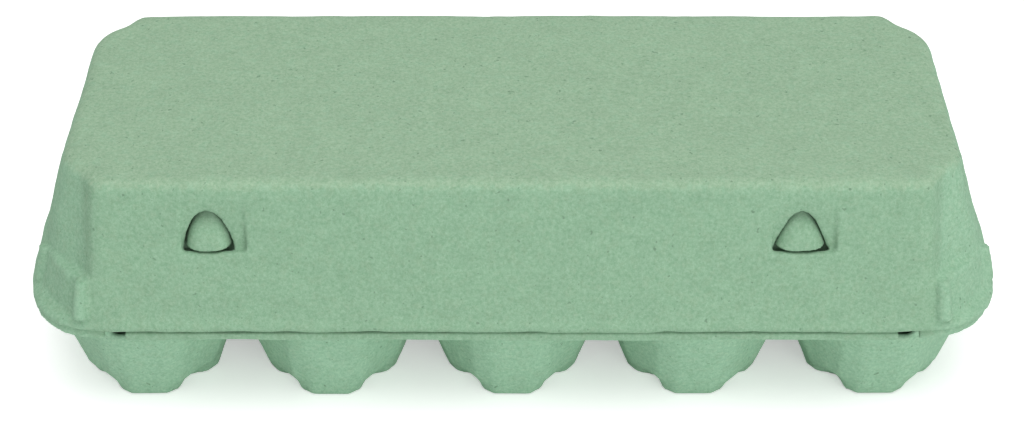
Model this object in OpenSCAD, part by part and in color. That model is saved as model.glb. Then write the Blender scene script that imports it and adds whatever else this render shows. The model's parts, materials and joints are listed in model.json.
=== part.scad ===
// Closed egg carton of moulded pulp, two rows of cells, in millimetres.
// X runs along the carton, Y from the opening side to the hinge side, Z up from the table.
// The origin is on the table, under the middle of the carton.

/* [Cells] */
// Cells in each row
columns = 5; // [3:1:6]
// Distance between neighbouring cells along the carton
pitch_x = 48; // [47:0.5:54]
// Distance between the two rows
pitch_y = 48.4; // [47.5:0.1:54]
// Size of a cell's foot along the carton
foot_x = 33.4; // [26:0.2:34]
// Size of a cell's foot across the carton
foot_y = 35; // [28:0.2:36]
// Size of a cell across the carton at the rim, measured on its outside
cell_rim_y = 48.6; // [47:0.1:50]
// Width of a cell's flat panel at the foot
panel_foot = 14.4; // [11:0.2:17]
// Width of a cell's flat panel at the rim
panel_rim = 17.8; // [14:0.2:22]
// Height of a foot before its corners widen to the shoulder
foot_h = 2.8; // [2:0.1:5]
// Rise from the foot's corner to the shoulder
shoulder_rise = 2.6; // [1.5:0.1:4]
// How far the foot's corners are drawn in from the cell's corner panels
corner_draw = 4; // [2:0.1:6]
// Rounding of a foot's lower edge
foot_edge = 0.9; // [0.4:0.1:1.5]
// Depth of the upright crease down the middle of each cell's outer panel
crease_depth = 0.35; // [0.2:0.05:0.8]
// Height of the saddles between neighbouring cells, measured underneath
saddle_z = 20.6; // [15:0.2:24]

/* [Tray] */
// Thickness of the pulp
wall = 1.6; // [1:0.1:2.2]
// Height of the tray's rim above the table
rim_z = 28.8; // [27:0.2:36]
// Width of the rim beyond the last cells, at both ends
rim_end = 4.4; // [3:0.1:8]
// Width of the rim beyond the cells on the long sides
rim_side = 3.1; // [2.4:0.1:6]
// Corner radius of the rim
rim_corner = 19.6; // [14:0.2:24]
// How far the rim's edge turns down at the corners and ends
rim_turn = 1.3; // [0.6:0.1:2]
// Gap between the tips of the posts and the inside of the lid
post_gap = 2.4; // [1.5:0.1:16]
// Width over corners of a post's tip
post_tip = 11; // [8:0.5:18]

/* [Lid] */
// Height of the lid from its lip to its top
lid_h = 39.1; // [37:0.1:60]
// Gap between the lid's lip and the tray's rim
part_gap = 0.3; // [0.2:0.05:0.6]
// How far the lid's lip reaches past the tray's rim
lip_reach = 1.6; // [0.8:0.1:3]
// Thickness of the lid's lip
lip_t = 1.9; // [1.5:0.1:3]
// Rounding of the lip's upper and lower edges
lip_edge = 0.4; // [0.2:0.05:0.6]
// Length over which each bend of the lip's outline is smoothed
lip_smooth = 9; // [4:0.5:10]
// Set-back of the skirt from the lip's edge on the long sides
skirt_back_y = 1.2; // [0.8:0.1:1.8]
// Set-back of the skirt from the lip's edge at the ends
skirt_back_x = 0.8; // [0.6:0.1:2]
// Height of the skirt, from the lip to the ledge at the corners
skirt_h = 12.2; // [8:0.1:16]
// Lean of the long sides, inwards for each millimetre of height
draft_y = 0.236; // [0.18:0.002:0.28]
// Lean of the skirt at the ends
skirt_lean_x = 3; // [1.5:0.1:4]
// Width of the ledge above the skirt at the ends
ledge_x = 1.1; // [0.8:0.1:3]
// Lean of the end walls, from the ledge to the top
wall_lean_x = 7.4; // [5:0.1:12]
// Rounding where the walls meet the top
top_round = 2.6; // [1.5:0.1:5]
// Length of the corner panel along the carton, at the ledge
corner_x = 15.1; // [10:0.1:20]
// Length of the corner panel across the carton, at the ledge
corner_y = 18.6; // [14:0.1:24]
// Length of the corner panel along the carton, at the top
corner_top_x = 9.4; // [6:0.1:14]
// Length of the corner panel across the carton, at the top
corner_top_y = 15; // [10:0.1:20]
// Hollow of the corner panel beside the long wall
corner_hollow = 0.9; // [0.2:0.1:1.5]
// Swell of the corner panel beside the end wall
corner_swell = 1.7; // [0.4:0.1:2.6]
// Swell of the skirt around the corner
skirt_swell = 2; // [1:0.1:3]
// Width of a skirt rib
rib_w = 4.2; // [2:0.1:5]
// How far a rib stands out of the skirt
rib_out = 1.3; // [0.4:0.1:1.6]

/* [Latches] */
// How far each latch sits outside the middle of the last cell but one
latch_side = 1.9; // [-3:0.1:4]
// How far both latches sit to the left of their places
latch_shift = 0.9; // [0:0.1:1.5]
// Width of a latch recess in the lid's front wall
recess_w = 15.8; // [14:0.1:20]
// Height of a latch recess
recess_h = 14.2; // [12:0.1:16]
// Depth of a latch recess at its lower edge
recess_depth = 2.2; // [1:0.1:2.4]
// Distance from the lid's lip to the lower edge of a latch recess
recess_up = 21.1; // [18:0.1:24]
// Overlap of a recess's face behind the wall beside it
recess_lap = 0.5; // [0.3:0.1:1.5]
// Width of the arched hole in the left recess
hole_w_left = 12.6; // [11:0.1:14]
// Width of the arched hole in the right recess
hole_w_right = 14; // [11:0.1:14.2]
// How pointed the left hole is, from 1 for half an ellipse to 2 for a parabola
hole_point_left = 1.2; // [1:0.1:2]
// How pointed the right hole is
hole_point_right = 2; // [1:0.1:2]
// Height of the arched hole
hole_h = 10.6; // [9:0.1:12]
// How far the left hole sits to the left of its recess's middle
hole_shift_left = 1.4; // [0:0.1:1.5]
// How far the right hole sits to the left of its recess's middle
hole_shift_right = 0.7; // [0:0.1:0.8]
// Drop of the hole's straight edge below the recess
hole_drop = 0.3; // [0.2:0.1:0.8]
// Clearance between a button and its hole
button_gap = 0.4; // [0.3:0.05:0.8]
// How far the foot of a button stands out of the lid's front wall
button_proud = 0.4; // [-1:0.1:0.6]
// How full the corners of a button are, from 1 for an ellipse down to nearly square
button_round = 0.75; // [0.5:0.05:1]
// Width of the slit along the right side of a recess
slit_w = 0.7; // [0.4:0.1:1]
// Depth of the slit below the face of the recess
slit_depth = 1; // [0.4:0.1:1.1]

/* [Lock flap] */
// Distance from each end of the tray's rim to the lock flap
flap_back = 26.2; // [24:0.2:34]
// Gap between the top of the lock flap and the inside of the lid
flap_top_gap = 4.6; // [3:0.1:6]
// Clearance between the lock flap and the back of a latch recess
flap_clear = 1.2; // [0.6:0.05:1.6]
// Clearance between the lock flap and the inside of the lid at its foot
flap_gap = 0.5; // [0.4:0.05:0.8]
// Clearance between the lock flap and the tray's rim behind the fold
rim_gap = 0.1; // [0.05:0.05:0.3]
// Depth of the fold along the tray's front edge
fold_h = 2.6; // [1.8:0.1:3.4]
// Rounding of the fold's outer edges
fold_edge = 0.9; // [0.4:0.05:0.9]
// Set-back of the flap's ends from the fold's ends
flap_step = 0.5; // [0.2:0.1:2]
// Radius of the flap's lower corners
flap_edge = 1; // [0.5:0.1:1.2]
// Open notch between each end of the fold and the corner of the rim
notch = 5.6; // [3:0.1:8]
// Depth of that notch, down the wall of the end cells
notch_h = 5; // [3:0.1:7]
// Radius of the lock flap's upper corners
flap_corner = 12; // [4:0.5:20]

/* [Hidden] */
pulp = "#A6C9AE";
eps = 0.01;
arc_steps = 2;
cell_steps = 1;

// Tray
row_y = pitch_y / 2;
cell_front = row_y + cell_rim_y / 2;
rim_x = (columns - 1) / 2 * pitch_x + pitch_x / 2 + rim_end;
rim_y = cell_front + rim_side;
shoulder_z = foot_h + shoulder_rise;
plate_z = rim_z - wall / 2;

// Lid
lip_z = rim_z + part_gap;
lip_x = rim_x + lip_reach;
lip_y = rim_y + lip_reach;
lip_corner = rim_corner + 0.7 * lip_reach;
crease_z = lip_z + lip_t + 1.4;
ledge_z = lip_z + lip_t + skirt_h;
head_z = ledge_z - 0.8;
top_z = lip_z + lid_h;
skirt_x = lip_x - skirt_back_x;
skirt_y = lip_y - skirt_back_y;
ledge_y = skirt_y - draft_y * (ledge_z - crease_z);
wall_x = skirt_x - skirt_lean_x - ledge_x;
top_x = wall_x - wall_lean_x;
top_y = skirt_y - draft_y * (top_z - crease_z);
post_z = top_z - wall - post_gap;

// Depth of the lid's front wall, measured from the middle, at height z
function front_at(z) = skirt_y - draft_y * (z - crease_z);

// Latches, on the lid's front wall
latch_span = (columns - 2) * pitch_x + 2 * latch_side;
recess_z = lip_z + recess_up;
recess_top = recess_z + recess_h;

// Lock flap
flap_l = 2 * (rim_x - flap_back);
flap_foot_y = skirt_y - wall - flap_gap;
flap_behind_y = front_at(recess_z) - recess_depth - wall - flap_clear;
flap_lean = (flap_foot_y - flap_behind_y) / (recess_z - rim_z);
flap_h = top_z - wall - flap_top_gap - rim_z;
flap_angle = atan(flap_lean);
fold_back_y = cell_front + 0.4;
button_out = front_at(recess_z) - flap_behind_y + button_proud;

// The left and right holes
hole_w = [hole_w_left, hole_w_right];
hole_point = [hole_point_left, hole_point_right];
hole_shift = [hole_shift_left, hole_shift_right];

// Depth of the lock flap's outer face at height z
function flap_at(z) = flap_foot_y - flap_lean * (z - rim_z);

// Vectors and outlines

function unit(v) = v / norm(v);

function left_of(v) = [-v[1], v[0]];

// The outline moved inwards by d, with the same number of points
function inset(outline, d) =
    let (n = len(outline))
    [for (i = [0 : n - 1])
        let (a = left_of(unit(outline[i] - outline[(i + n - 1) % n])))
        let (b = left_of(unit(outline[(i + 1) % n] - outline[i])))
        outline[i] + d * (a + b) / (1 + a * b)];

// The outline with every corner rounded over the length r
function rounded(outline, r, steps = arc_steps) =
    let (n = len(outline))
    [for (i = [0 : n - 1])
        let (b = outline[i])
        let (back = outline[(i + n - 1) % n] - b)
        let (ahead = outline[(i + 1) % n] - b)
        let (p = b + unit(back) * min(r, norm(back) * 0.45))
        let (q = b + unit(ahead) * min(r, norm(ahead) * 0.45))
        for (k = [0 : steps])
            let (s = k / steps)
            (1 - s) * (1 - s) * p + 2 * s * (1 - s) * b + s * s * q];

// A cell's outline with its panel ends rounded and the middles of its corner panels left as they are
function cell_rounded(outline, r) =
    let (smooth = rounded(outline, r, cell_steps))
    let (each_corner = cell_steps + 1)
    [for (i = [0 : len(outline) - 1])
        for (k = [0 : i % 3 == 1 ? 0 : cell_steps])
            i % 3 == 1 ? outline[i] : smooth[i * each_corner + k]];

function reversed(list) = [for (i = [len(list) - 1 : -1 : 0]) list[i]];

function signed(points, sx, sy) = [for (p = points) [sx * p[0], sy * p[1]]];

// A whole outline from its corner on the opening side and its corner on the hinge side
function four_corners(near, far) = concat(
    signed(near, 1, -1),
    reversed(signed(far, 1, 1)),
    signed(far, -1, 1),
    reversed(signed(near, -1, -1))
);

function blend(a, b, s) = [for (i = [0 : len(a) - 1]) (1 - s) * a[i] + s * b[i]];

// A solid through outlines with equal numbers of points; each level is [z, outline]
module loft(levels) {
    n = len(levels[0][1]);
    last = len(levels) - 1;
    points = [for (l = levels) for (p = l[1]) [p[0], p[1], l[0]]];
    sides = [for (k = [0 : last - 1]) for (i = [0 : n - 1])
        let (a = k * n + i)
        let (b = k * n + (i + 1) % n)
        for (f = [[a, a + n, b + n], [a, b + n, b]]) f];
    floor_face = [for (i = [0 : n - 1]) i];
    roof_face = [for (i = [n - 1 : -1 : 0]) last * n + i];
    polyhedron(points, concat([floor_face], sides, [roof_face]), convexity = 12);
}

// Tray

// One corner of a cell: end of the long panel, middle of the corner panel, end of the side panel
function cell_corner(x, y, panel, draw) =
    let (p = [panel / 2, y])
    let (q = [x, panel / 2])
    [p, (p + q) / 2 - draw * [1, 1] / sqrt(2), q];

// Half size of a cell that grows from its foot until it meets its neighbour at the saddle
function reach_at(z, foot, pitch) =
    min(pitch / 2 + eps, foot / 2 + (pitch - foot) / 2 * z / saddle_z);

function cell_at(z, draw) =
    let (front = foot_y / 2 + (cell_rim_y - foot_y) / 2 * z / rim_z)
    let (panel = panel_foot + (panel_rim - panel_foot) * z / rim_z)
    let (x = reach_at(z, foot_x, pitch_x))
    let (inner = reach_at(z, foot_y, pitch_y))
    four_corners(cell_corner(x, front, panel, draw), cell_corner(x, inner, panel, draw));

// Inside of one corner, a wall's thickness in from the outside, out to the given half sizes
function cavity_corner(c, x, y, draw) =
    let (u = unit(c[2] - c[0]))
    let (a = c[0] - wall * [-u[1], u[0]])
    let (p = a + u * (y - a[1]) / u[1])
    let (q = a + u * (x - a[0]) / u[0])
    [p, (p + q) / 2 - draw * [1, 1] / sqrt(2), q];

function cavity_at(z, draw, open) =
    let (front = foot_y / 2 + (cell_rim_y - foot_y) / 2 * z / rim_z)
    let (panel = panel_foot + (panel_rim - panel_foot) * z / rim_z)
    let (x = reach_at(z, foot_x, pitch_x))
    let (inner = reach_at(z, foot_y, pitch_y))
    let (side = open ? pitch_x / 2 + 2 * eps : x - wall)
    let (mid = open ? pitch_y / 2 + 2 * eps : inner - wall)
    four_corners(
        cavity_corner(cell_corner(x, front, panel, 0), side, front - wall, draw),
        cavity_corner(cell_corner(x, inner, panel, 0), side, mid, draw)
    );

module cell_outside() {
    bottom = inset(cell_at(foot_edge, corner_draw), foot_edge * 0.6);
    loft([
        [0, cell_rounded(bottom, 2.4)],
        [foot_edge, cell_rounded(cell_at(foot_edge, corner_draw), 2.4)],
        [foot_h, cell_rounded(cell_at(foot_h, corner_draw * 0.8), 2.4)],
        [shoulder_z, cell_rounded(cell_at(shoulder_z, 0), 2.8)],
        [saddle_z, cell_rounded(cell_at(saddle_z, 0), 2.8)],
        [plate_z, cell_rounded(cell_at(plate_z, 0), 2.8)],
    ]);
}

module cell_hollow() {
    notch_z = foot_h + wall * 0.7;
    swell_z = shoulder_z + wall * 0.6;
    bottom = inset(cavity_at(wall, corner_draw, false), foot_edge * 0.6);
    loft([
        [wall, cell_rounded(bottom, 2)],
        [notch_z, cell_rounded(cavity_at(notch_z, corner_draw * 0.8, false), 2)],
        [swell_z, cell_rounded(cavity_at(swell_z, 0, false), 2.2)],
        [saddle_z, cell_rounded(cavity_at(saddle_z, 0, false), 2.2)],
        [saddle_z + wall, cell_rounded(cavity_at(saddle_z + wall, 0, true), 2.2)],
        [rim_z + 1, cell_rounded(cavity_at(rim_z + 1, 0, true), 2.2)],
    ]);
}

// Inside of a cell, open towards its neighbours; the outer side of an end cell stays closed
module cell_inside() {
    side_wall = pitch_x / 2 - wall + 0.1;
    if ($end == 0)
        cell_hollow();
    else
        intersection() {
            cell_hollow();
            translate([$end < 0 ? -side_wall : -pitch_x, -pitch_y, 0])
                cube([pitch_x + side_wall, 2 * pitch_y, rim_z + 2]);
        }
}

// Shallow upright crease down the middle of a cell's outer panel
module panel_crease() {
    hull() {
        for (z = [foot_h, rim_z - wall - 1])
            translate([0, -(foot_y / 2 + (cell_rim_y - foot_y) / 2 * z / rim_z), z])
                linear_extrude(eps)
                    polygon([[-0.7, -1], [0.7, -1], [0, crease_depth]]);
    }
}

// Repeats its child at every cell; the far row is turned round so that its outer side faces the hinge.
// $end is -1 at the left ends of the rows, 1 at the right ends and 0 between them
module at_cells() {
    for (i = [0 : columns - 1])
        for (row = [-1, 1])
            translate([(i - (columns - 1) / 2) * pitch_x, row * row_y, 0])
                mirror([0, row > 0 ? 1 : 0, 0])
                    let ($end = i == 0 ? -1 : i == columns - 1 ? 1 : 0)
                        children();
}

// Repeats its child where four cells meet
module at_posts() {
    for (i = [1 : columns - 1])
        translate([(i - columns / 2) * pitch_x, 0, 0])
            children();
}

// Half width over corners of the gap between four cells, at the rim
post_foot = (pitch_x + pitch_y - panel_rim - cell_rim_y) / 2 - 0.4;

function post_ring(half) =
    let (blunt = min(2, half * 0.3))
    let (c = [[blunt, half - blunt], [half / 2, half / 2], [half - blunt, blunt]])
    four_corners(c, c);

module post_outside() {
    skin = wall * sqrt(2);
    loft([
        [plate_z, post_ring(post_foot + skin - 0.4)],
        [rim_z + 6, post_ring(post_foot + skin - 3.4)],
        [post_z - 2.4, post_ring(post_tip / 2 + 0.6)],
        [post_z - 0.7, post_ring(post_tip / 2 - 0.3)],
        [post_z, post_ring(post_tip / 2 - 1.6)],
    ]);
}

module post_inside() {
    skin = wall * sqrt(2);
    loft([
        [rim_z - wall - 1, post_ring(post_foot)],
        [rim_z + 6, post_ring(post_foot - 3.4)],
        [post_z - wall - 1.6, post_ring(post_tip / 2 + 0.9 - skin)],
        [post_z - wall, post_ring(post_tip / 2 - skin)],
    ]);
}

function round_box(x, y, r) =
    let (c = [for (k = [0 : 6]) [x - r + r * sin(15 * k), y - r + r * cos(15 * k)]])
    four_corners(c, c);

module rim_outline() {
    difference() {
        union() {
            polygon(round_box(rim_x, rim_y, rim_corner));
            translate([-rim_x + rim_corner, 0])
                square([2 * (rim_x - rim_corner), lip_y]);
        }
        translate([-flap_l / 2 - notch / 2, -rim_y - 1])
            square([flap_l + notch, rim_y + 1 - fold_back_y]);
    }
}

// The rim's edge, turned down around the corners and along the ends
module rim_edge() {
    translate([0, 0, rim_z - wall - rim_turn])
        linear_extrude(plate_z - rim_z + wall + rim_turn)
            difference() {
                polygon(round_box(rim_x, rim_y, rim_corner));
                polygon(round_box(rim_x - wall, rim_y - wall, rim_corner - wall));
                translate([-flap_l / 2 - notch / 2, -rim_y - 1])
                    square([flap_l + notch, 2 * rim_y + 2]);
            }
}

// Notches beside the fold, down into the wall of the end cells
module fold_notches() {
    for (s = [-1, 1])
        translate([s * (flap_l + notch) / 2 - notch / 2, -rim_y - 1, rim_z - notch_h])
            cube([notch, rim_y + 1 - cell_front + 2 * wall, notch_h + 1]);
}

module base_tray() {
    color(pulp)
    difference() {
        union() {
            difference() {
                union() {
                    at_cells() cell_outside();
                    translate([0, 0, rim_z - wall])
                        linear_extrude(wall)
                            rim_outline();
                    rim_edge();
                }
                at_cells() cell_inside();
            }
            at_posts() post_outside();
        }
        at_posts() post_inside();
        fold_notches();
        at_cells() panel_crease();
    }
}

// Lid

// One corner of a lid outline: long wall, hollow, swell, end wall
function lid_corner(x, y, cut_x, cut_y, hollow, swell, s1 = 0.24, s2 = 0.74) =
    let (p = [x - cut_x, y])
    let (q = [x, y - cut_y])
    let (out = unit([cut_y, cut_x]))
    [p, p + (q - p) * s1 - hollow * out, p + (q - p) * s2 + swell * out, q];

function lid_ring(c) = four_corners(c, c);

lip_ring = lid_ring([for (k = [0 : 3])
    [lip_x - lip_corner * (1 - sin(30 * k)), lip_y - lip_corner * (1 - cos(30 * k))]]);

foot_corner = lid_corner(skirt_x, skirt_y,
    corner_x + 2.6, corner_y + 1.6, -skirt_swell, skirt_swell, 0.3, 0.68);

head_corner = lid_corner(skirt_x - skirt_lean_x, front_at(head_z),
    corner_x + 0.4, corner_y - 0.4, -skirt_swell, skirt_swell, 0.3, 0.68);

skirt_foot = lid_ring(foot_corner);

skirt_head = lid_ring(head_corner);

ledge_ring = lid_ring(lid_corner(wall_x, ledge_y,
    corner_x, corner_y, corner_hollow, corner_swell));

top_ring = lid_ring(lid_corner(top_x, top_y,
    corner_top_x, corner_top_y, corner_hollow, corner_swell * 0.6, 0.35, 0.68));

function wall_ring(z) = blend(ledge_ring, top_ring, (z - ledge_z) / (top_z - ledge_z));

// The rounded edge between the walls and the top, as levels for a loft
function crown(top, round, skin) = [for (a = [0 : 30 : 90])
    let (z = top - round * (1 - sin(a)))
    [z, rounded(inset(wall_ring(z), skin + round * (1 - cos(a))), 2.4)]];

module lid_outside() {
    loft(concat([
        [lip_z, rounded(inset(lip_ring, lip_edge), lip_smooth)],
        [lip_z + lip_edge, rounded(lip_ring, lip_smooth)],
        [lip_z + lip_t - lip_edge, rounded(lip_ring, lip_smooth)],
        [lip_z + lip_t, rounded(inset(lip_ring, lip_edge), lip_smooth)],
        [crease_z, rounded(skirt_foot, 2.6)],
        [head_z, rounded(skirt_head, 2.6)],
        [ledge_z, rounded(ledge_ring, 2.4)],
    ], crown(top_z, top_round, 0)));
}

module lid_inside() {
    loft(concat([
        [lip_z - 1, rounded(inset(skirt_foot, wall - 0.2), 2.6)],
        [crease_z, rounded(inset(skirt_foot, wall), 2.6)],
        [ledge_z - wall, rounded(inset(skirt_head, wall), 2.6)],
        [ledge_z - wall * 0.5, rounded(inset(ledge_ring, wall), 2.4)],
    ], crown(top_z - wall, top_round - wall * 0.5, wall)));
}

// Upright rib between a point of the skirt's foot and one of its head
module skirt_rib(a, b) {
    hull() {
        translate([a[0], a[1], crease_z + 0.4])
            cylinder(d = rib_w, h = 0.5, $fn = 8);
        translate([b[0], b[1], ledge_z - 1.1])
            cylinder(d = rib_w * 0.8, h = 0.5, $fn = 8);
    }
}

// Ribs that stiffen the skirt where each corner meets the long wall and the end wall
module skirt_ribs() {
    sunk = rib_w / 2 - rib_out;
    for (sx = [-1, 1])
        for (sy = [-1, 1])
            scale([sx, sy, 1]) {
                skirt_rib(foot_corner[0] + [2, -sunk], head_corner[0] + [2, -sunk]);
                skirt_rib(foot_corner[3] + [-rib_w / 2, 2], head_corner[3] + [-sunk, 2]);
            }
}

// Wedge between the lid's front wall and the face of a latch recess, out into the open
module recess_wedge(width, skin) {
    low_y = front_at(recess_z) - recess_depth - skin;
    high_y = front_at(recess_top) + 0.1 - skin;
    translate([-width / 2, 0, 0])
        rotate([90, 0, 90])
            linear_extrude(width)
                polygon([
                    [-low_y, recess_z],
                    [-high_y, recess_top],
                    [-lip_y - 4, recess_top],
                    [-lip_y - 4, recess_z],
                ]);
}

// Arched outline that stands on its straight edge
function arch(width, height, point) =
    [for (a = [-90 : 15 : 90]) [width / 2 * sin(a), height * pow(cos(a), point)]];

module latch_hole(side) {
    translate([-hole_shift[side], 0, recess_z - hole_drop])
        rotate([90, 0, 0])
            linear_extrude(lip_y)
                polygon(arch(hole_w[side], hole_h + hole_drop, hole_point[side]));
}

// Slit along the right side of a recess, deeper than its face
module latch_slit() {
    translate([recess_w / 2, 0, -hole_drop])
        recess_wedge(slit_w, slit_depth);
}

// Repeats its child at both latches; $side is 0 at the left one
module at_latches() {
    for ($side = [0, 1])
        translate([($side - 0.5) * latch_span - latch_shift, 0, 0])
            children();
}

module lid() {
    color(pulp)
    difference() {
        union() {
            lid_outside();
            skirt_ribs();
        }
        difference() {
            lid_inside();
            at_latches() recess_wedge(recess_w + 2 * recess_lap, wall);
        }
        at_latches() {
            recess_wedge(recess_w, 0);
            latch_hole($side);
            latch_slit();
        }
    }
}

// Lock flap

module flap_panel() {
    translate([0, -flap_foot_y, rim_z])
        rotate([90 - flap_angle, 0, 0])
            mirror([0, 0, 1])
                linear_extrude(wall)
                    hull() {
                        for (s = [-1, 1]) {
                            translate([s * (flap_l / 2 - flap_step - flap_edge), -fold_h / 2])
                                circle(r = flap_edge, $fn = 16);
                            translate([s * (flap_l / 2 - flap_step - flap_corner), flap_h / cos(flap_angle) - flap_corner])
                                circle(r = flap_corner, $fn = 32);
                        }
                    }
}

module flap_fold() {
    depth = lip_y - 0.4 - fold_back_y;
    translate([-flap_l / 2, -fold_back_y - depth, rim_z - fold_h])
        rotate([90, 0, 90])
            linear_extrude(flap_l)
                hull() {
                    translate([fold_edge, fold_edge])
                        circle(r = fold_edge, $fn = 16);
                    translate([fold_edge, fold_h - fold_edge])
                        circle(r = fold_edge, $fn = 16);
                    translate([depth - fold_edge, 0])
                        square([fold_edge, fold_h]);
                }
}

// One level of a button, at a share of its height: a half ring that stands out of the flap
function button_ring(side, share, skin) =
    let (z = recess_z + button_gap + share * (hole_h - 2 * button_gap))
    let (y = -flap_at(z) + wall / 2 + skin)
    let (half_hole = hole_w[side] / 2 - button_gap)
    let (half = half_hole * sqrt(1 - pow(share, 2 / hole_point[side])) - skin)
    let (depth = button_out * (1 - 0.75 * share * share) + wall / 2)
    [z, [for (a = [180 : 15 : 360]) [half * fuller(cos(a)), y + depth * fuller(sin(a))]]];

// A share of the way out to a button's side, moved outwards at its corners
function fuller(share) = sign(share) * pow(abs(share), button_round);

module button(side, skin) {
    low = skin / hole_h;
    high = 0.94 - 1.1 * low;
    translate([-hole_shift[side], 0, 0])
        loft([for (s = [0, 0.27, 0.53, 0.75, 0.9, 1])
            button_ring(side, low + s * (high - low), skin)]);
}

// Room for the tray's rim and cells behind the fold
module rim_room() {
    translate([-rim_x, -fold_back_y - rim_gap, 0])
        cube([2 * rim_x, 2 * fold_back_y, rim_z + rim_gap]);
}

module lock_flap() {
    color(pulp)
    difference() {
        union() {
            difference() {
                flap_panel();
                rim_room();
            }
            flap_fold();
            at_latches() button($side, 0);
        }
        at_latches() button($side, wall);
    }
}

base_tray();
lid();
lock_flap();
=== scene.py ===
import json
import math

import bpy
import numpy as np
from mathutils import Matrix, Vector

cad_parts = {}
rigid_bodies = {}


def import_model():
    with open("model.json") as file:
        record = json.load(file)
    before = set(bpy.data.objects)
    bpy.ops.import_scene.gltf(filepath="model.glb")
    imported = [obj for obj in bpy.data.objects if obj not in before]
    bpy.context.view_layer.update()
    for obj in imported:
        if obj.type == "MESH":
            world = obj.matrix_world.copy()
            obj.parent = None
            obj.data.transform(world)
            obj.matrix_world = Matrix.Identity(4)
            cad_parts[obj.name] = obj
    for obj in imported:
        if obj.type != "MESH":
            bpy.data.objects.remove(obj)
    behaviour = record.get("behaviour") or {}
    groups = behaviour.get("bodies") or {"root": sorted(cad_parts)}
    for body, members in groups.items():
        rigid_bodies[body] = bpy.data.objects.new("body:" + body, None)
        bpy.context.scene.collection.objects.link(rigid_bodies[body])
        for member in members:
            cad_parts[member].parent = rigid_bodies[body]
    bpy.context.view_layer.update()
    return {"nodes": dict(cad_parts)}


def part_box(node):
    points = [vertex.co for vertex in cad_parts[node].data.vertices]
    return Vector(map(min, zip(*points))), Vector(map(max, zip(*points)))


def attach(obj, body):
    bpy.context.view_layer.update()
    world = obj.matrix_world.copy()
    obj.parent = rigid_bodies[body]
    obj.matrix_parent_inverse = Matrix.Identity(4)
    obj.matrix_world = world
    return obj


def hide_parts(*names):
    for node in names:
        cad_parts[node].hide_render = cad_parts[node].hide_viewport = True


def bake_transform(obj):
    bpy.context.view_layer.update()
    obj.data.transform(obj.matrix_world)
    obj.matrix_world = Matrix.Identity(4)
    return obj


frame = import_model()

bl_info = {
    "name": "Moulded Pulp Egg Carton",
    "version": (1, 0, 0),
    "blender": (4, 5, 0),
    "location": "3D View > Sidebar > Carton",
    "description": "Builds the pulp skins, the back fold and the stage of an egg carton",
    "category": "Object",
}

MM = 0.001
WHITE = (1, 1, 1, 1)

# Widths of the features in the pulp, as shares of a clot of fibre
FIBRE = 0.36
SPECK = 1.5
TINT_PATCH = 2.6
CLOUD = 6.5

# Shares of clots and of fibres in the mottle
CLOT_SHARE = 0.55
FIBRE_SHARE = 0.45

# Heights and widths over which the painted warm light on the top and the painted shade on the walls
# fade in, and what is left of the walls' painted shade at the corners
TOP_LIGHT_FADE = 1.6 * MM
WALL_SHADE_FADE = 1.5 * MM
CORNER_FADE = 2 * MM
CORNER_SHADE_SHARE = 0.45

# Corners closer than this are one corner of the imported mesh
SAME_CORNER = 0.01 * MM

# Unevenness of a skin: name, width of the lumps, height
UNEVENNESS = (
    ("sag", 34 * MM, 0.7 * MM),
    ("lumps", 7 * MM, 0.32 * MM),
)

# Where the lid is out of true, in millimetres: centre, reach, move.
# The front left corner is pressed in, the front right one bulges.
LID_PUSHES = (
    ((-125, -38, 40), 17, (1.6, 0.3, 0)),
    ((120, -40, 52), 14, (0.9, 0, 0)),
)
LIP_WAVE_DEPTH = 0.5 * MM
LIP_WAVE_REACH = 2.2 * MM
# Waves along the lip's edge: weight, wavelength over two pi, shift
LIP_WAVES = ((1.0, 3.1 * MM, 0.0), (1.0, 5.3 * MM, 1.3), (0.6, 1.7 * MM, 0.4))

# Back fold: gap at each end, inset from the tray's back, drop under the lid
FOLD_END_GAP = 22 * MM
FOLD_INSET = 0.5 * MM
FOLD_DROP = 1.3 * MM
# Its steps outward and upward, in millimetres
FOLD_STEPS = ((0.35, 0.45), (0.25, 0.55), (0.05, 0.5), (-0.25, 0.55), (-0.35, 0.45))

# Light of the world on the carton, and what the camera sees added to the floor
SKY_LIGHT = 0.55
FLOOR_LIFT = 0.42
# Soft lamps aimed at the carton: name, place, size, power
LAMPS = (
    ("front_softbox", (0.95, -1.62, 0.4), 0.8, 10.0),
    ("top_softbox", (0.1, -0.35, 1.6), 1.3, 13.2),
)


# Colours and nodes

def linear(hex_colour):
    """An sRGB hex value as a linear colour."""
    parts = [int(hex_colour[i:i + 2], 16) / 255 for i in (1, 3, 5)]
    return tuple(p / 12.92 if p <= 0.04045 else ((p + 0.055) / 1.055) ** 2.4
                 for p in parts) + (1.0,)


def add_node(tree, kind, settings=None, links=None):
    """Adds a node, sets its properties or sockets, and links its inputs to outputs."""
    node = tree.nodes.new(kind)
    for key, value in (settings or {}).items():
        if isinstance(key, str) and hasattr(node, key):
            setattr(node, key, value)
        else:
            node.inputs[key].default_value = value
    for key, output in (links or {}).items():
        tree.links.new(output, node.inputs[key])
    return node


def empty_tree(owner):
    """The owner's node tree with no nodes in it."""
    owner.use_nodes = True
    owner.node_tree.nodes.clear()
    return owner.node_tree


def noise(tree, place, width, detail, roughness, distortion=0.0):
    """Noise whose lumps are about width across."""
    return add_node(tree, "ShaderNodeTexNoise", {
        "Scale": 1 / width, "Detail": detail, "Roughness": roughness, "Distortion": distortion,
    }, {"Vector": place}).outputs["Fac"]


def ramp(tree, value, start, end, low=0.0, high=1.0):
    """Maps start..end of a value to low..high, and holds those two beyond the ends."""
    return add_node(tree, "ShaderNodeMapRange", {
        "From Min": start, "From Max": end, "To Min": low, "To Max": high,
    }, {"Value": value}).outputs[0]


def calculate(tree, operation, links, fixed=None, clamp=False):
    """The result of an operation on linked and fixed values, each by its socket's number."""
    settings = {"operation": operation, "use_clamp": clamp, **(fixed or {})}
    return add_node(tree, "ShaderNodeMath", settings, links).outputs[0]


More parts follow.
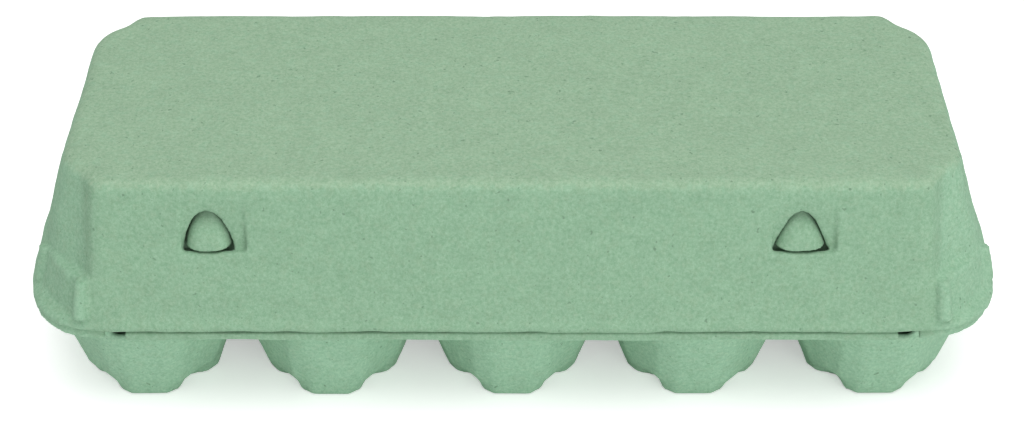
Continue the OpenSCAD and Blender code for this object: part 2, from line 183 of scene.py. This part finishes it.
def tint(tree, factor, base, colour, how="MIX"):
    """Mixes a fixed colour into a base colour."""
    return add_node(tree, "ShaderNodeMix", {"data_type": "RGBA", "blend_type": how, "B": colour},
                    {"Factor": factor, "A": base}).outputs["Result"]


def moulded_pulp(name, look):
    """Moulded paper pulp: recycled fibre dried on a wire mould, dull, mottled and slightly woolly,
    with painted warm light on the lid's top and painted shade on its walls.
    """
    material = bpy.data.materials.new(name)
    tree = empty_tree(material)
    place = add_node(tree, "ShaderNodeTexCoord").outputs["Object"]
    axes = add_node(tree, "ShaderNodeSeparateXYZ", None, {"Vector": place}).outputs

    clots = noise(tree, place, look.clot_size, 3.0, 0.62, 0.3)
    # Fibres drawn coarser than the real 0.05 mm ones, which would not show
    fibres = noise(tree, place, look.clot_size * FIBRE, 4.0, 0.7, 0.6)
    # Cloudy patches 6 mm across, where the slurry settled thicker
    clouds = noise(tree, place, look.clot_size * CLOUD, 3.0, 0.6)
    # Patches of warmer and cooler waste paper 2.3 mm across
    tints = noise(tree, place, look.clot_size * TINT_PATCH, 3.0, 0.7)
    # Specks of dark print and bark
    specks = noise(tree, place, look.clot_size * SPECK, 1.0, 0.5)

    fine = calculate(tree, "MULTIPLY", {0: fibres}, {1: FIBRE_SHARE})
    tone = calculate(tree, "MULTIPLY_ADD", {0: clots, 2: fine}, {1: CLOT_SHARE})
    green = add_node(tree, "ShaderNodeMix", {
        "data_type": "RGBA", "A": look.dark_fibre, "B": look.light_fibre,
    }, {"Factor": ramp(tree, tone, 0.36, 0.64)}).outputs["Result"]

    # Painted warm light: the top is tinted a little greyer and warmer than the walls, for the warmer
    # light that falls on it from above. The same tint also gives the random warmer and cooler patches
    # of paper.
    is_top = ramp(tree, axes["Z"], look.top_start, look.top_start + TOP_LIGHT_FADE)
    patches = ramp(tree, tints, 0.38, 0.62, -0.28, 0.28)
    warm = calculate(tree, "ADD", {0: is_top, 1: patches}, clamp=True)
    toned = tint(tree, warm, green, look.top_light_and_patch_tint, "MULTIPLY")

    # Painted shade: the lid's walls and the rim under them are made a little darker than the cells,
    # for shade that the lamps don't give them
    above_cells = ramp(tree, axes["Z"], look.wall_shade_start, look.wall_shade_start + WALL_SHADE_FADE)
    is_wall = calculate(tree, "SUBTRACT", {0: above_cells, 1: is_top}, clamp=True)
    # The corner panels take under half of the painted shade
    sideways = calculate(tree, "ABSOLUTE", {0: axes["X"]})
    by_side = ramp(tree, sideways, look.corner_start, look.corner_start + CORNER_FADE,
                   1.0, CORNER_SHADE_SHARE)
    wall_shade_share = calculate(tree, "MULTIPLY", {0: is_wall, 1: by_side})
    wall_shaded = tint(tree, wall_shade_share, toned, look.wall_shade_tint, "MULTIPLY")

    shaded = add_node(tree, "ShaderNodeVectorMath", {"operation": "SCALE"},
                      {0: wall_shaded, "Scale": ramp(tree, clouds, 0.3, 0.7, 0.965, 1.035)})
    is_speck = ramp(tree, specks, 0.735, 0.76, 0.0, 0.6)
    coloured = tint(tree, is_speck, shaded.outputs[0], look.speck)

    bump_coarse = add_node(tree, "ShaderNodeBump", {"Strength": 0.55, "Distance": 0.35 * MM},
                           {"Height": tints})
    bump_fine = add_node(tree, "ShaderNodeBump", {"Strength": 0.5, "Distance": 0.16 * MM},
                         {"Height": tone, "Normal": bump_coarse.outputs["Normal"]})
    # Dry paper: rough all over, with a faint sheen
    shader = add_node(tree, "ShaderNodeBsdfPrincipled", {
        "Roughness": 0.93, "IOR": 1.45, "Specular IOR Level": 0.25,
    }, {"Base Color": coloured, "Normal": bump_fine.outputs["Normal"]})
    add_node(tree, "ShaderNodeOutputMaterial", None, {"Surface": shader.outputs[0]})
    return material


def floor_finish(name, colour):
    """Matt white card, which looks plain white in clear light and keeps the shadows."""
    material = bpy.data.materials.new(name)
    tree = empty_tree(material)
    card = add_node(tree, "ShaderNodeBsdfDiffuse", {"Color": colour})
    lift = add_node(tree, "ShaderNodeEmission", {"Color": WHITE, "Strength": FLOOR_LIFT})
    seen = add_node(tree, "ShaderNodeLightPath").outputs["Is Camera Ray"]
    glow = add_node(tree, "ShaderNodeAddShader", None, {0: card.outputs[0], 1: lift.outputs[0]})
    mixed = add_node(tree, "ShaderNodeMixShader", None,
                     {0: seen, 1: card.outputs[0], 2: glow.outputs[0]})
    add_node(tree, "ShaderNodeOutputMaterial", None, {"Surface": mixed.outputs[0]})
    return material


def studio_world():
    """Even white light, seen by the camera as plain white."""
    world = bpy.data.worlds.new("studio")
    tree = empty_tree(world)
    seen = add_node(tree, "ShaderNodeLightPath").outputs["Is Camera Ray"]
    sky = add_node(tree, "ShaderNodeBackground", {"Color": WHITE},
                   {"Strength": ramp(tree, seen, 0.0, 1.0, SKY_LIGHT, 1.0)})
    add_node(tree, "ShaderNodeOutputWorld", None, {"Surface": sky.outputs[0]})
    return world


# Shapes

def nothing_selected():
    if bpy.context.mode != "OBJECT":
        bpy.ops.object.mode_set(mode="OBJECT")
    bpy.ops.object.select_all(action="DESELECT")


def only(piece):
    nothing_selected()
    piece.select_set(True)
    bpy.context.view_layer.objects.active = piece


def rename(piece, name):
    piece.name = name
    piece.data.name = name


def apply_modifier(piece, kind, **settings):
    """Adds a modifier with its settings and applies it."""
    only(piece)
    modifier = piece.modifiers.new(kind.lower(), kind)
    for key, value in settings.items():
        setattr(modifier, key, value)
    bpy.ops.object.modifier_apply(modifier=modifier.name)


def shell_copy(node, name):
    """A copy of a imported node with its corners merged, free of the frame."""
    only(frame["nodes"][node])
    bpy.ops.object.duplicate()
    piece = bpy.context.active_object
    bpy.ops.object.parent_clear(type="CLEAR_KEEP_TRANSFORM")
    for key in list(piece.keys()):
        del piece[key]
    rename(piece, name)
    piece.data.materials.clear()
    only(piece)
    bpy.ops.object.mode_set(mode="EDIT")
    bpy.ops.mesh.select_all(action="SELECT")
    bpy.ops.mesh.remove_doubles(threshold=SAME_CORNER)
    bpy.ops.object.mode_set(mode="OBJECT")
    return piece


def waves(name, width):
    """Cloud texture whose lumps are about width across."""
    texture = bpy.data.textures.new(name, "CLOUDS")
    texture.noise_scale = width
    texture.noise_depth = 2
    return texture


def soften(piece, grain, passes, keep):
    """Turns a hard shell into drawn pulp: even facets, rounded edges and slight unevenness."""
    apply_modifier(piece, "REMESH", mode="VOXEL", voxel_size=grain)
    apply_modifier(piece, "SMOOTH", factor=0.5, iterations=passes)
    apply_modifier(piece, "DECIMATE", ratio=keep)
    for label, width, strength in UNEVENNESS:
        apply_modifier(piece, "DISPLACE", texture=waves(piece.name + "_" + label, width),
                       texture_coords="LOCAL", strength=strength, mid_level=0.5)
    only(piece)
    bpy.ops.object.shade_smooth()


def points_of(piece):
    co = np.empty(len(piece.data.vertices) * 3)
    piece.data.vertices.foreach_get("co", co)
    return co.reshape(-1, 3)


def set_points(piece, co):
    piece.data.vertices.foreach_set("co", co.ravel())
    piece.data.update()


def push(co, centre, reach, move):
    """Moves the points near centre by move, in millimetres, fading out at reach."""
    away = np.linalg.norm(co / MM - np.array(centre), axis=1) / reach
    share = np.clip(1 - away, 0, 1)
    share = share * share * (3 - 2 * share)
    co += share[:, None] * np.array(move) * MM


def wave_lip(co, lip_z):
    """Raises the lower edge of the lid's lip here and there, as on pulp trimmed by hand."""
    # Slanted a little, so that the waves run on around the ends
    along = co[:, 0] + 0.7 * co[:, 1]
    wave = sum(weight * np.sin(along / length + shift) for weight, length, shift in LIP_WAVES)
    wave = wave / sum(weight for weight, length, shift in LIP_WAVES)
    fade = np.clip(1 - (co[:, 2] - lip_z) / LIP_WAVE_REACH, 0, 1)
    co[:, 2] += fade * LIP_WAVE_DEPTH * np.clip(wave, 0, 1)


# Sizes and colours

def colour_property(name, description, default):
    return bpy.props.FloatVectorProperty(
        name=name, description=description, subtype="COLOR", size=4, min=0, max=1,
        default=default)


def length_property(name, description, low, high, default):
    return bpy.props.FloatProperty(
        name=name, description=description, subtype="DISTANCE", unit="LENGTH",
        min=low, max=high, default=default)


class CartonPulp(bpy.types.PropertyGroup):
    dark_fibre: colour_property(
        "Dark fibre", "Colour of the darker clots of pulp", linear("#86B091"))
    light_fibre: colour_property(
        "Light fibre", "Colour of the lighter clots of pulp", linear("#A3C8AC"))
    # Painted warm light on the lid's top, also used for the random warm patches of paper
    top_light_and_patch_tint: colour_property(
        "Top tint", "Tint of the lid's top, multiplied with the pulp", linear("#FFF3F1"))
    # Painted shade on the lid's walls and the rim under them
    wall_shade_tint: colour_property(
        "Wall tint", "Tint of the lid's walls, multiplied with the pulp", linear("#ECEBE8"))
    speck: colour_property(
        "Speck", "Colour of the dark specks in the pulp", linear("#64806A"))
    clot_size: length_property(
        "Clot size", "Width of a clot of fibre", 0.2 * MM, 5 * MM, 0.9 * MM)
    # Height at which the painted shade on the walls begins
    wall_shade_start: length_property(
        "Wall start", "Height at which the walls' tint begins",
        0, 1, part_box("lid")[0].z - 3.2 * MM)
    corner_start: length_property(
        "Corner start", "Distance from the middle at which the corner panels begin",
        0, 1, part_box("lid")[1].x - 19.5 * MM)
    top_start: length_property(
        "Top start", "Height at which the top's tint begins",
        0, 1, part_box("lid")[1].z - 2.2 * MM)


class CartonSkins(bpy.types.PropertyGroup):
    tray_grain: length_property(
        "Tray grain", "Facet size of the tray's skin", 0.4 * MM, 3 * MM, 0.8 * MM)
    lid_grain: length_property(
        "Lid grain", "Facet size of the lid's skin", 0.4 * MM, 3 * MM, 0.6 * MM)
    flap_grain: length_property(
        "Flap grain", "Facet size of the lock flap's skin", 0.3 * MM, 3 * MM, 0.45 * MM)
    fold_thickness: length_property(
        "Fold thickness", "Thickness of the pulp in the back fold", 0.1 * MM, 1 * MM, 0.4 * MM)


class CartonStage(bpy.types.PropertyGroup):
    floor_colour: colour_property(
        "Floor colour", "Colour of the card under the carton", (0.96, 0.96, 0.96, 1.0))
    floor_size: length_property(
        "Floor size", "Width of the card under the carton", 1, 20, 8.0)
    lens: bpy.props.FloatProperty(
        name="Lens", description="Focal length of the camera, in millimetres",
        min=10, max=300, default=79.45)
    camera_distance: length_property(
        "Camera distance", "Distance of the camera in front of the carton's middle",
        0.1, 5, 0.511)
    camera_height: length_property(
        "Camera height", "Height of the camera above the floor", 0.05, 5, 0.3754)
    camera_pitch: bpy.props.FloatProperty(
        name="Camera pitch", description="How far the camera looks down",
        subtype="ANGLE", unit="ROTATION", min=0, max=math.pi / 2, default=math.radians(34))


def pulp():
    return bpy.data.materials.get("moulded_pulp") or moulded_pulp(
        "moulded_pulp", bpy.context.scene.carton_pulp)


def finish_skin(piece, node, body):
    piece.data.materials.append(pulp())
    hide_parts(node)
    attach(piece, body)


# Pieces

class CARTON_OT_tray_skin(bpy.types.Operator):
    """Drawn pulp skin of the tray, with its cells, rim and posts"""
    bl_idname = "carton.tray_skin"
    bl_label = "Tray skin"

    def execute(self, context):
        piece = shell_copy("base_tray", "tray_pulp")
        soften(piece, context.scene.carton_skins.tray_grain, passes=1, keep=0.5)
        finish_skin(piece, "base_tray", "tray")
        return {"FINISHED"}


class CARTON_OT_lid_skin(bpy.types.Operator):
    """Drawn pulp skin of the lid, with its corner panels, ribs, recesses and holes"""
    bl_idname = "carton.lid_skin"
    bl_label = "Lid skin"

    def execute(self, context):
        piece = shell_copy("lid", "lid_pulp")
        soften(piece, context.scene.carton_skins.lid_grain, passes=1, keep=0.36)
        co = points_of(piece)
        for centre, reach, move in LID_PUSHES:
            push(co, centre, reach, move)
        wave_lip(co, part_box("lid")[0].z)
        set_points(piece, co)
        finish_skin(piece, "lid", "lid")
        return {"FINISHED"}


class CARTON_OT_flap_skin(bpy.types.Operator):
    """Drawn pulp skin of the lock flap and its two buttons"""
    bl_idname = "carton.flap_skin"
    bl_label = "Lock flap skin"

    def execute(self, context):
        piece = shell_copy("lock_flap", "lock_flap_pulp")
        soften(piece, context.scene.carton_skins.flap_grain, passes=2, keep=0.5)
        finish_skin(piece, "lock_flap", "tray")
        return {"FINISHED"}


class CARTON_OT_back_fold(bpy.types.Operator):
    """Thin fold of pulp that joins the lid to the tray along the back"""
    bl_idname = "carton.back_fold"
    bl_label = "Back fold"

    def execute(self, context):
        tray_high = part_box("base_tray")[1]
        half = tray_high.x - FOLD_END_GAP
        back = tray_high.y - FOLD_INSET
        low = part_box("lid")[0].z - FOLD_DROP
        nothing_selected()
        bpy.ops.mesh.primitive_plane_add(size=1, location=(0, back, low))
        piece = bpy.context.active_object
        rename(piece, "back_fold")
        bpy.ops.transform.resize(value=(2 * half, context.scene.carton_skins.fold_thickness, 1))
        bpy.ops.object.transform_apply(location=True, rotation=True, scale=True)
        bpy.ops.object.mode_set(mode="EDIT")
        bpy.ops.mesh.select_all(action="SELECT")
        for out, up in FOLD_STEPS:
            bpy.ops.mesh.extrude_region_move(
                TRANSFORM_OT_translate={"value": (0, out * MM, up * MM)})
        bpy.ops.mesh.select_all(action="SELECT")
        bpy.ops.mesh.subdivide(number_cuts=2)
        bpy.ops.mesh.normals_make_consistent(inside=False)
        bpy.ops.object.mode_set(mode="OBJECT")
        apply_modifier(piece, "SUBSURF", levels=1, render_levels=1)
        bpy.ops.object.shade_smooth()
        piece.data.materials.append(pulp())
        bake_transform(piece)
        return {"FINISHED"}


class CARTON_OT_stage(bpy.types.Operator):
    """White card floor, soft lamps and the camera at the photograph's angle"""
    bl_idname = "carton.stage"
    bl_label = "Stage"

    def execute(self, context):
        stage = context.scene.carton_stage
        nothing_selected()
        bpy.ops.mesh.primitive_plane_add(size=stage.floor_size, location=(0, 0, 0))
        floor = bpy.context.active_object
        floor.name = "floor_card"
        floor.data.materials.append(floor_finish("white_card", stage.floor_colour))

        context.scene.world = studio_world()
        for name, place, size, power in LAMPS:
            bpy.ops.object.light_add(type="AREA", location=place)
            lamp = bpy.context.active_object
            lamp.name = name
            lamp.data.size = size
            lamp.data.energy = power
            lamp.rotation_euler = (-lamp.location).to_track_quat("-Z", "Y").to_euler()

        bpy.ops.object.camera_add(
            location=(0, -stage.camera_distance, stage.camera_height),
            rotation=(math.pi / 2 - stage.camera_pitch, 0, 0))
        camera = bpy.context.active_object
        camera.name = "photo_camera"
        camera.data.sensor_width = 36
        camera.data.lens = stage.lens
        camera.data.clip_start = 0.01
        camera.data.clip_end = 30
        context.scene.camera = camera
        context.scene.view_settings.view_transform = "Standard"
        return {"FINISHED"}


class CARTON_PT_panel(bpy.types.Panel):
    """Sidebar panel with the carton's pieces, sizes and colours"""
    bl_idname = "CARTON_PT_panel"
    bl_label = "Egg carton"
    bl_space_type = "VIEW_3D"
    bl_region_type = "UI"
    bl_category = "Carton"

    def draw(self, context):
        layout = self.layout
        for group in GROUPS:
            box = layout.box()
            settings = getattr(context.scene, group)
            for key in settings.__annotations__:
                box.prop(settings, key)
        for operator in PIECES:
            layout.operator(operator.bl_idname)


GROUPS = {"carton_pulp": CartonPulp, "carton_skins": CartonSkins, "carton_stage": CartonStage}
PIECES = (CARTON_OT_tray_skin, CARTON_OT_lid_skin, CARTON_OT_flap_skin, CARTON_OT_back_fold,
          CARTON_OT_stage)


def register():
    for cls in (*GROUPS.values(), *PIECES, CARTON_PT_panel):
        bpy.utils.register_class(cls)
    for name, cls in GROUPS.items():
        setattr(bpy.types.Scene, name, bpy.props.PointerProperty(type=cls))


def unregister():
    for name in GROUPS:
        delattr(bpy.types.Scene, name)
    for cls in (CARTON_PT_panel, *reversed(PIECES), *reversed(tuple(GROUPS.values()))):
        bpy.utils.unregister_class(cls)


def build_carton():
    register()
    bpy.ops.carton.tray_skin()
    bpy.ops.carton.lid_skin()
    bpy.ops.carton.flap_skin()
    bpy.ops.carton.back_fold()
    bpy.ops.carton.stage()


if __name__ == "__main__":
    build_carton()
